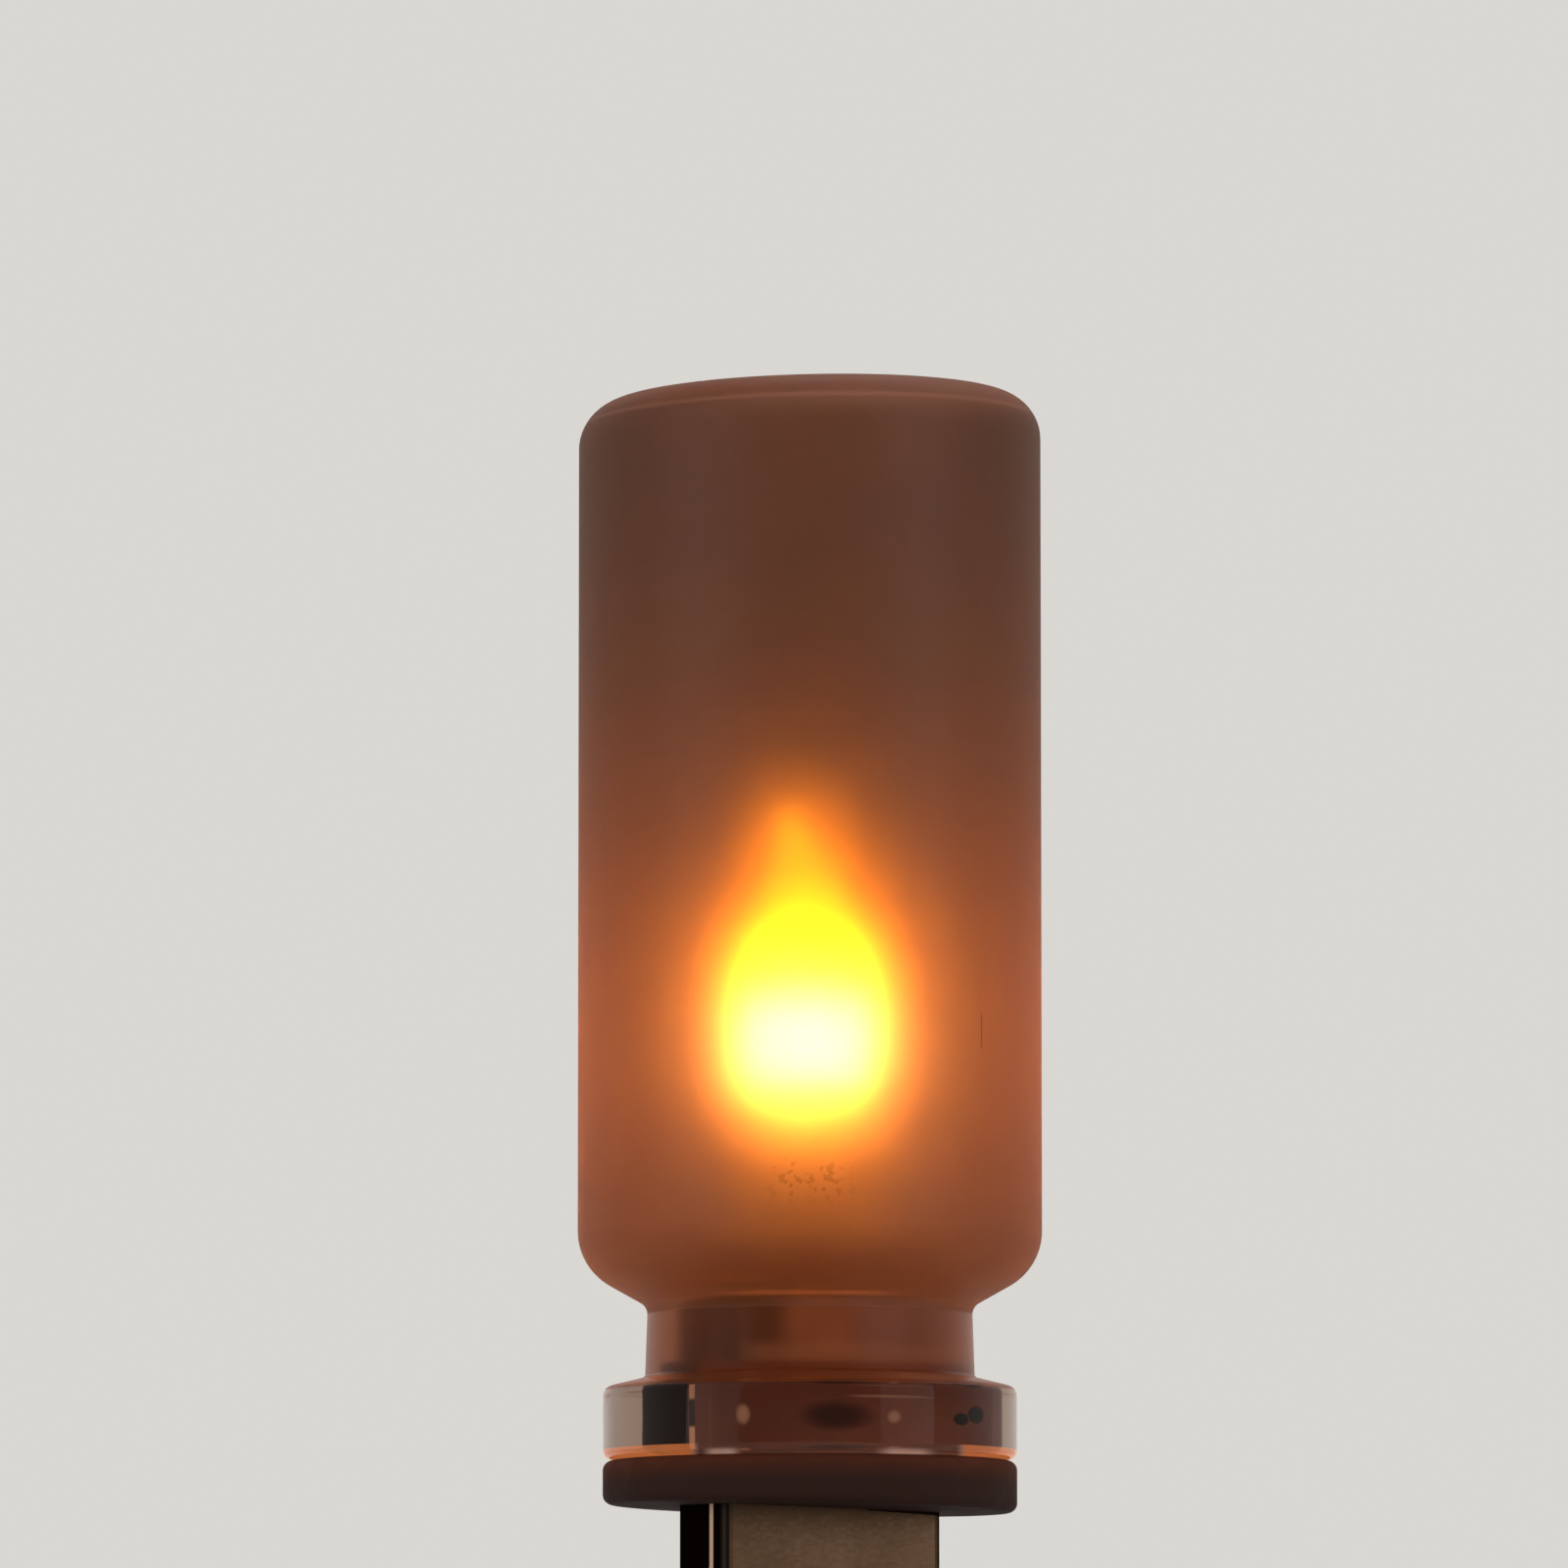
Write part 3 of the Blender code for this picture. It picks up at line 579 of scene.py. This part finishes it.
def polished_glass(name, tint):
    """Clear glass with a faint waviness."""
    material, tree, shader, place = start_material(name, tint, 0.02)
    let_light_through(shader, POLISHED_IOR)
    shader.inputs["Specular Tint"].default_value = POLISHED_GLINT
    wave = noise(tree, place, scale=320.0, detail=1.0)
    color = mix_color(tree, step(tree, wave, 0.35, 0.65), tint, shaded(tint, 1.05))
    tree.links.new(color, shader.inputs["Base Color"])
    bump(tree, shader, wave, 0.03 * MM)
    return material


def lit_edge():
    """The flange's rounded lower edge, where the flame's light that runs down the glass comes out."""
    material, tree, shader, place = start_material("Lit glass edge", EDGE_TINT, 0.12)
    split = split_place(tree, place)
    let_light_through(shader, POLISHED_IOR)
    shader.inputs["Specular Tint"].default_value = POLISHED_GLINT
    right_of_middle = across(tree, split, CAMERA_AZIMUTH)
    left_arc, right_arc = EDGE_ARCS
    left = fade(tree, right_of_middle, left_arc - 0.3 * MM, left_arc + 0.3 * MM)
    right = step(tree, right_of_middle, right_arc - 0.3 * MM, right_arc + 0.3 * MM)
    arcs = maths(tree, "MAXIMUM", left, right)
    glow = maths(tree, "ADD", product(tree, arcs, EDGE_ARC_GLOW), EDGE_FAINT_GLOW)
    front = near_half(tree, split, CAMERA_AZIMUTH)
    low = fade(tree, split["Z"], GLASS_BOTTOM + 0.05 * MM, GLASS_BOTTOM + 0.3 * MM)
    for middle, reach in EDGE_GLINTS:
        off = distance(tree, right_of_middle, middle)
        glint = step(tree, off, 0.3 * reach, reach, EDGE_GLINT_GLOW, 0.0)
        glow = maths(tree, "ADD", glow, product(tree, glint, front, low))
    color = mix_color(tree, arcs, EDGE_GLINT_COLOR, EDGE_ARC_COLOR)
    tree.links.new(color, shader.inputs["Emission Color"])
    uneven = clouded(tree, noise(tree, place, scale=420.0, detail=2.0), 0.85, 1.1)
    tree.links.new(product(tree, glow, uneven), shader.inputs["Emission Strength"])
    return material


def flame_share(tree, split):
    """How far up the flame a place is, from 0 at its foot to 1 at its tip."""
    rise = maths(tree, "SUBTRACT", split["Z"], FLAME_FOOT)
    return maths(tree, "DIVIDE", rise, FLAME_TIP - FLAME_FOOT)


def flame_glow():
    """Milky silicone, lit from inside by the diodes: white-hot low down, orange at the tip."""
    material, tree, shader, place = start_material("Glowing silicone", (0.9, 0.6, 0.3), 0.5)
    share = flame_share(tree, split_place(tree, place))
    level = color_ramp(tree, share, [(height, (glow,) * 3) for height, glow in FLAME_LEVELS])
    heat = product(tree, fade(tree, share, 0.22, 0.42), step(tree, share, 0.0, 0.12))
    color = mix_color(tree, heat, FLAME_TIP_COLOR, FLAME_HEART_COLOR)
    tree.links.new(color, shader.inputs["Emission Color"])
    mottle = clouded(tree, noise(tree, place, scale=700.0, detail=2.0), 0.9, 1.1)
    tree.links.new(product(tree, level, mottle, FLAME_POWER), shader.inputs["Emission Strength"])
    return material


def lens_glow():
    """A lit diode lens, hottest in its middle rows."""
    material, tree, shader, place = start_material("Lit diode lens", (0.9, 0.75, 0.4), 0.3)
    shader.inputs["Emission Color"].default_value = LENS_COLOR
    dimming = step(tree, flame_share(tree, split_place(tree, place)), 0.2, 0.7, 6.0, 2.0)
    mottle = clouded(tree, noise(tree, place, scale=2500.0, detail=2.0), 0.85, 1.15)
    tree.links.new(product(tree, dimming, mottle), shader.inputs["Emission Strength"])
    return material


def narrow_side(tree, split, outer, inner):
    """1 on the plug's narrow sides; the soft edge runs between two distances in from them."""
    off_middle = maths(tree, "ABSOLUTE", split["X"])
    return step(tree, off_middle, PLUG_HALF_WIDTH - outer, PLUG_HALF_WIDTH - inner)


def core_mark(tree, split, middle, reach, soft):
    """1 inside an ellipse on the plug's broad faces, 0 outside it, with a soft edge."""
    parts = []
    for axis, center, half in zip("XZ", middle, reach):
        away = maths(tree, "DIVIDE", maths(tree, "SUBTRACT", split[axis], center), half)
        parts.append(product(tree, away, away))
    return fade(tree, maths(tree, "ADD", *parts), 1.0 - soft, 1.0 + soft)


def disc_gap_shadow(tree, split):
    """Painted shadow in the thin gap under the disc, wider towards one edge of the plug."""
    height = product(tree, maths(tree, "SUBTRACT", split["X"], GAP_SHADOW_START), GAP_SHADOW_SLOPE)
    below = maths(tree, "SUBTRACT", DISC_BOTTOM - 0.12 * MM, split["Z"])
    inside = step(tree, maths(tree, "SUBTRACT", height, below), 0.0, 0.03 * MM)
    started = step(tree, split["X"], GAP_SHADOW_START, GAP_SHADOW_START + 0.2 * MM)
    up_to_disc = fade(tree, split["Z"], DISC_BOTTOM + 0.3 * MM, DISC_BOTTOM + 0.5 * MM)
    return product(tree, inside, started, up_to_disc)


def plated_steel():
    """The plug's pressed shell: dull plating, painted shade on its narrow sides, painted highlights,
    warmer and lighter where it is held.
    """
    material, tree, shader, place = start_material("Plated steel", (0.24, 0.19, 0.14), 0.3, 1.0)
    split = split_place(tree, place)
    shader.inputs["Specular Tint"].default_value = PLATED_GLINT
    drawn = noise(tree, place, scale=7000.0, detail=2.0, stretch=(0.4, 0.4, 1.0))
    cloud = clouded(tree, noise(tree, place, scale=300.0, detail=2.0))
    side = narrow_side(tree, split, 0.30 * MM, 0.22 * MM)
    front = product(tree, split["Y"], -1.0)
    held = step(tree, split["Z"], DISC_TOP - 0.2 * MM, DISC_TOP - 0.1 * MM)

    plated = mix_color(tree, cloud, *PLATED)
    # Painted shade darkens the narrow sides
    plated = mix_color(tree, side, plated, PAINTED_SIDE_SHADE)
    # Warmer and lighter where the resin holds the shell
    held_color = mix_color(tree, cloud, *HELD_TONES)
    # Dark marks, painted highlights and a pale line on the held broad faces
    for middle, reach, soft, mark_color in CORE_MARKS_AND_HIGHLIGHTS:
        held_color = mix_color(tree, core_mark(tree, split, middle, reach, soft), held_color, mark_color)
    # Painted shade on the held narrow sides, behind the highlight line
    behind_line = fade(tree, front, LINE_START - 0.05 * MM, LINE_START)
    held_color = mix_color(tree, product(tree, behind_line, side), held_color, DEEP_SHADE)
    color = mix_color(tree, held, plated, held_color)
    # Painted shadow under the disc
    color = mix_color(tree, disc_gap_shadow(tree, split), color, DEEP_SHADE)

    # A painted highlight line down the narrow sides, broken once by dark
    after = step(tree, front, LINE_START, LINE_START + 0.06 * MM)
    before = fade(tree, front, LINE_END - 0.06 * MM, LINE_END)
    low = fade(tree, split["Z"], LINE_TOP - 0.2 * MM, LINE_TOP)
    highlight_color = mix_color(tree, held, HIGHLIGHT_LINE_COLOR, HELD_HIGHLIGHT_LINE_COLOR)
    broken = fade(tree, distance(tree, split["Z"], LINE_BREAK_HEIGHT), 0.55 * MM, 0.75 * MM)
    highlight_color = mix_color(tree, broken, highlight_color, LINE_BREAK_COLOR)
    color = mix_color(tree, product(tree, after, before, side, low), color, highlight_color)
    tree.links.new(color, shader.inputs["Base Color"])

    tree.links.new(inverse(tree, product(tree, held, HELD_DULLING)), shader.inputs["Metallic"])
    grain = product(tree, drawn, inverse(tree, held))
    tree.links.new(clouded(tree, grain, 0.27, 0.33), shader.inputs["Roughness"])
    bump(tree, shader, grain, 0.0002 * MM)
    return material


def potting():
    """The block behind the plug: black at one end, warm where the flame's light soaks past it; it glows
    with its own colours, all painted light.
    """
    material, tree, shader, place = start_material("Black potting", (0.02, 0.013, 0.01), 0.5)
    split = split_place(tree, place)
    from_edge = maths(tree, "ADD", split["X"], PLUG_HALF_WIDTH)
    bands = color_ramp(tree, maths(tree, "DIVIDE", from_edge, 2 * PLUG_HALF_WIDTH), POTTING_BANDS)
    cloud = noise(tree, place, scale=500.0, detail=3.0)
    color = mix_color(tree, step(tree, cloud, 0.35, 0.7, 0.0, 0.3), bands, POTTING_CLOUD)
    # Painted light and shade on the flanks: lit on one half, shaded on the other
    turned = product(tree, split["Y"], maths(tree, "SIGN", split["X"]))
    flank = mix_color(tree, step(tree, turned, -1.3 * MM, -0.1 * MM), FLANK_LIT, FLANK_SHADED)
    color = mix_color(tree, narrow_side(tree, split, 0.3 * MM, 0.1 * MM), color, flank)
    # A painted patch of warm light just above the plug, towards one side
    foot = step(tree, split["Z"], PLUG_TOP + 0.5 * MM, PLUG_TOP + 1.1 * MM, 0.5, 0.0)
    foot = product(tree, foot, step(tree, split["X"], -5.2 * MM, -3.6 * MM))
    color = mix_color(tree, foot, color, FLANK_LIT)
    tree.links.new(color, shader.inputs["Base Color"])
    # The block glows with its own colours: painted light
    tree.links.new(color, shader.inputs["Emission Color"])
    shader.inputs["Emission Strength"].default_value = 1.0
    tree.links.new(clouded(tree, cloud, 0.4, 0.6), shader.inputs["Roughness"])
    return material


def matte_disc():
    """Dark matte plastic disc, warmed at its top where the glass above lights it."""
    material, tree, shader, place = start_material("Matte disc", DISC_DARK, 0.8)
    split = split_place(tree, place)
    shader.inputs["Specular IOR Level"].default_value = 0.08
    warm = step(tree, split["Z"], DISC_BOTTOM + 0.9 * MM, DISC_TOP)
    color = mix_color(tree, warm, DISC_DARK, DISC_LIT)
    cloud = noise(tree, place, scale=700.0, detail=4.0)
    color = mix_color(tree, step(tree, cloud, 0.35, 0.75, 0.0, 0.35), color, DISC_CLOUD)
    tree.links.new(color, shader.inputs["Base Color"])
    tree.links.new(clouded(tree, cloud, 0.7, 0.9), shader.inputs["Roughness"])
    bump(tree, shader, noise(tree, place, scale=4500.0, detail=3.0), 0.02 * MM)
    return material


# Modelling helpers

def lathe(name, rings, sides):
    """A closed turned solid: a filled circle, extruded and resized ring by ring up its profile."""
    bpy.ops.object.select_all(action="DESELECT")
    radius, height = rings[0]
    bpy.ops.mesh.primitive_circle_add(
        vertices=sides, radius=radius, fill_type="NGON", location=(0, 0, height)
    )
    piece = bpy.context.object
    piece.name = name
    piece.data.name = name
    bpy.ops.object.mode_set(mode="EDIT")
    bpy.ops.mesh.select_all(action="SELECT")
    for next_radius, next_height in rings[1:]:
        rise = (0, 0, next_height - height)
        bpy.ops.mesh.extrude_region_move(TRANSFORM_OT_translate={"value": rise})
        scale = next_radius / radius
        bpy.ops.transform.resize(value=(scale, scale, 1.0), center_override=(0, 0, next_height))
        radius, height = next_radius, next_height
    bpy.ops.mesh.select_all(action="SELECT")
    bpy.ops.mesh.normals_make_consistent(inside=False)
    bpy.ops.object.mode_set(mode="OBJECT")
    bpy.ops.object.transform_apply(location=True, rotation=True, scale=True)
    return piece


def smooth(piece):
    bpy.ops.object.select_all(action="DESELECT")
    piece.select_set(True)
    bpy.context.view_layer.objects.active = piece
    bpy.ops.object.shade_smooth_by_angle(angle=SMOOTH_ANGLE)


def arc(center_radius, center_z, radius, start, end, steps):
    """Rings along an arc of the profile, from one angle to another."""
    angles = [start + (end - start) * i / steps for i in range(steps + 1)]
    return [(center_radius + radius * math.cos(a), center_z + radius * math.sin(a)) for a in angles]


def stack(start, end, steps):
    """Rings between two rings, so that a long side has enough faces."""
    return [tuple(s + (e - s) * i / steps for s, e in zip(start, end)) for i in range(1, steps)]


def held_within(value, low, high):
    return min(max(value, low), high)


# Pieces

def slant_rise(x, y):
    """How far the slanted top lies above its middle at a place."""
    return math.tan(TOP_SLANT) * (math.cos(SLANT_TOWARDS) * x + math.sin(SLANT_TOWARDS) * y)


def shoulder(bend_z, radius, neck_radius, neck_bend):
    """The lower shoulder from the neck up: a round, a straight slope and an arc into the side."""
    inset = 1.0 - math.sin(SHOULDER_SLOPE)
    end_radius = BEND_RADIUS + radius * math.sin(SHOULDER_SLOPE)
    end_z = bend_z - radius * math.cos(SHOULDER_SLOPE)
    slope_run = end_radius - neck_radius - neck_bend * inset
    neck_z = end_z - slope_run * math.tan(SHOULDER_SLOPE) - neck_bend * math.cos(SHOULDER_SLOPE)
    rings = arc(neck_radius + neck_bend, neck_z, neck_bend, math.pi, SHOULDER_SLOPE + math.pi / 2, 10)
    return rings + arc(BEND_RADIUS, bend_z, radius, SHOULDER_SLOPE - math.pi / 2, 0.0, 14)


def shoulder_height():
    """The height of the shoulder's bend at which the neck below it ends at NECK_TOP."""
    neck_z = shoulder(0.0, SHOULDER_RADIUS, NECK_SLIMMEST, NECK_BEND)[0][1]
    return GLASS_BOTTOM + NECK_TOP - neck_z


def flange_rings():
    """The flange from its foot up: a round edge, an upright side, a round corner and a sloping top."""
    slope_run = FLANGE_RADIUS - NECK_RADIUS - FLANGE_CORNER * (1.0 - math.sin(FLANGE_SLOPE))
    slope_end = GLASS_BOTTOM + FLANGE_HEIGHT - slope_run * math.tan(FLANGE_SLOPE)
    corner_z = slope_end - FLANGE_CORNER * math.cos(FLANGE_SLOPE)
    edge_z = GLASS_BOTTOM + FLANGE_EDGE
    rings = arc(FLANGE_RADIUS - FLANGE_EDGE, edge_z, FLANGE_EDGE, -math.pi / 2, 0.0, 10)
    rings += stack((FLANGE_RADIUS, edge_z), (FLANGE_RADIUS, corner_z), 5)
    corner_end = math.pi / 2 - FLANGE_SLOPE
    rings += arc(FLANGE_RADIUS - FLANGE_CORNER, corner_z, FLANGE_CORNER, 0.0, corner_end, 10)
    return rings + [(NECK_RADIUS + FLANGE_TO_NECK, GLASS_BOTTOM + FLANGE_HEIGHT - 0.01 * MM)]


def outside_rings():
    """The outside of the cover: flange, neck, shoulder, side and top corner."""
    bend_z = shoulder_height()
    corner_z = GLASS_TOP - TOP_CORNER
    rings = flange_rings()
    rings += [(NECK_RADIUS, GLASS_BOTTOM + FLANGE_HEIGHT + FLANGE_TO_NECK)]
    rings += stack(rings[-1], (NECK_SLIMMEST, GLASS_BOTTOM + NECK_TOP), 6)
    rings += shoulder(bend_z, SHOULDER_RADIUS, NECK_SLIMMEST, NECK_BEND)
    rings += stack((GLASS_RADIUS, bend_z), (GLASS_RADIUS, corner_z), 12)
    return rings + arc(GLASS_RADIUS - TOP_CORNER, corner_z, TOP_CORNER, 0.0, math.pi / 2, 14)


def air_space_rings():
    """The air space in the cover: the resin's level, its round at the wall and the wall above it."""
    bend_z = shoulder_height()
    corner_z = GLASS_TOP - TOP_CORNER
    fill_z = GLASS_BOTTOM + FILL_TOP
    radius = GLASS_RADIUS - GLASS_WALL
    corner = TOP_CORNER - GLASS_WALL
    wall = shoulder(bend_z, SHOULDER_RADIUS - GLASS_WALL, BORE_RADIUS, NECK_BEND + GLASS_WALL)
    above = [ring for ring in wall if ring[1] > fill_z + FILL_CLEAR]
    wet_radius = above[0][0] - 0.05 * MM
    rings = [(wet_radius - inset, fill_z + rise) for inset, rise in FILL_ROUND]
    rings += above
    rings += stack((radius, bend_z), (radius, corner_z), 12)
    return rings + arc(radius - corner, corner_z, corner, 0.0, math.pi / 2, 12)


def finish_at(height):
    """The finish of the cover's outside at a height above the flange's foot."""
    if height < FLANGE_EDGE:
        return EDGE_FINISH
    if height < POLISHED_TO:
        return POLISHED_FINISH
    if height < NECK_TOP:
        return NECK_FINISH
    return BODY_FINISH


def make_glass_cover():
    """The cover and the resin that fills its foot: one clear volume round the lamp's air space."""
    outside = lathe("glass_cover", outside_rings(), GLASS_SIDES)
    inside = lathe("glass_inside", air_space_rings(), GLASS_SIDES)
    inside.data.flip_normals()
    smooth(outside)
    smooth(inside)

    body = frosted_glass("Frosted glass", BODY_SHARP, BODY_WIDE, BODY_WIDE_SHARE, BODY_GLINT, BODY_GLOW)
    neck = frosted_glass("Frosted neck", NECK_SHARP, NECK_WIDE, NECK_WIDE_SHARE, NECK_GLINT, NECK_GLOW)
    for finish in (body, polished_glass("Polished flange", POLISHED_TINT), lit_edge(), neck):
        outside.data.materials.append(finish)
    inside.data.materials.append(polished_glass("Glass inside", INSIDE_TINT))
    for face in outside.data.polygons:
        face.material_index = finish_at(face.center.z - GLASS_BOTTOM)

    bpy.ops.object.select_all(action="DESELECT")
    inside.select_set(True)
    outside.select_set(True)
    bpy.context.view_layer.objects.active = outside
    bpy.ops.object.join()

    # The slant of the top is spread over the upper half of the cover
    half = GLASS_HEIGHT / 2
    for vertex in outside.data.vertices:
        x, y, z = vertex.co
        share = held_within((z - GLASS_BOTTOM - half) / (half - TOP_CORNER), 0.0, 1.0)
        vertex.co.z += share * slant_rise(x, y)
    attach(outside, "root")
    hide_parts("glass_cover", "clear_resin")


def flame_radius(z):
    """The flame's radius at a height: an ellipse from the foot to the belly, a cosine up to the tip."""
    if z < BELLY_Z:
        drop = (BELLY_Z - z) / (BELLY_Z - FLAME_FOOT)
        return BELLY_RADIUS * math.sqrt(1.0 - drop**2 * (1.0 - (FOOT_RADIUS / BELLY_RADIUS) ** 2))
    return BELLY_RADIUS * math.cos(math.pi / 2 * min((z - BELLY_Z) / (FLAME_TIP - BELLY_Z), 1.0))


def make_flame():
    """The glowing hood over the diodes; its tip leans to one side."""
    heights = [FLAME_FOOT + (FLAME_TIP - FLAME_FOOT) * i / FLAME_RINGS for i in range(FLAME_RINGS)]
    flame = lathe("flame_diffuser", [(flame_radius(z), z) for z in heights], FLAME_SIDES)
    for vertex in flame.data.vertices:
        share = (vertex.co.z - FLAME_FOOT) / (FLAME_TIP - FLAME_FOOT)
        vertex.co.x -= FLAME_SHIFT + FLAME_LEAN * share**7
    smooth(flame)
    flame.data.materials.append(flame_glow())
    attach(flame, "root")
    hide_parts("flame_diffuser")


def make_base_disc():
    """The disc, turned with soft edges; its underside sags a little to one side."""
    low = DISC_BOTTOM + DISC_EDGE
    high = DISC_TOP - DISC_EDGE
    rings = [(DISC_FIRST_RING, DISC_BOTTOM)]
    rings += arc(FLANGE_RADIUS - DISC_EDGE, low, DISC_EDGE, -math.pi / 2, 0.0, 8)
    rings += stack((FLANGE_RADIUS, low), (FLANGE_RADIUS, high), 5)
    rings += arc(FLANGE_RADIUS - DISC_EDGE, high, DISC_EDGE, 0.0, math.pi / 2, 8)
    disc = lathe("base_disc", rings, GLASS_SIDES)
    azimuth = math.radians(CAMERA_AZIMUTH)
    for vertex in disc.data.vertices:
        x, y, z = vertex.co
        share = held_within((high - z) / (high - low), 0.0, 1.0)
        right = x * math.cos(azimuth) + y * math.sin(azimuth)
        vertex.co.z -= share * DISC_SAG * right / FLANGE_RADIUS
    smooth(disc)
    disc.data.materials.append(matte_disc())
    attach(disc, "root")
    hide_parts("base_disc")


def dress_parts():
    """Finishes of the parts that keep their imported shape."""
    finishes = {name: grained(*values) for name, values in SMALL_PARTS.items()}
    finishes["plug_shell"] = plated_steel()
    finishes["rear_block"] = potting()
    gold = grained(*GOLD_PLATING, metallic=1.0)
    lens = lens_glow()
    for name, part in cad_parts.items():
        finish = finishes.get(name)
        if name.startswith("contact_"):
            finish = gold
        if name.startswith("led_"):
            finish = lens
        if finish is not None:
            part.data.materials.clear()
            part.data.materials.append(finish)


place_camera()
light_studio()
lay_floor()
bpy.context.scene.view_settings.view_transform = "Standard"
dress_parts()
make_glass_cover()
make_flame()
make_base_disc()
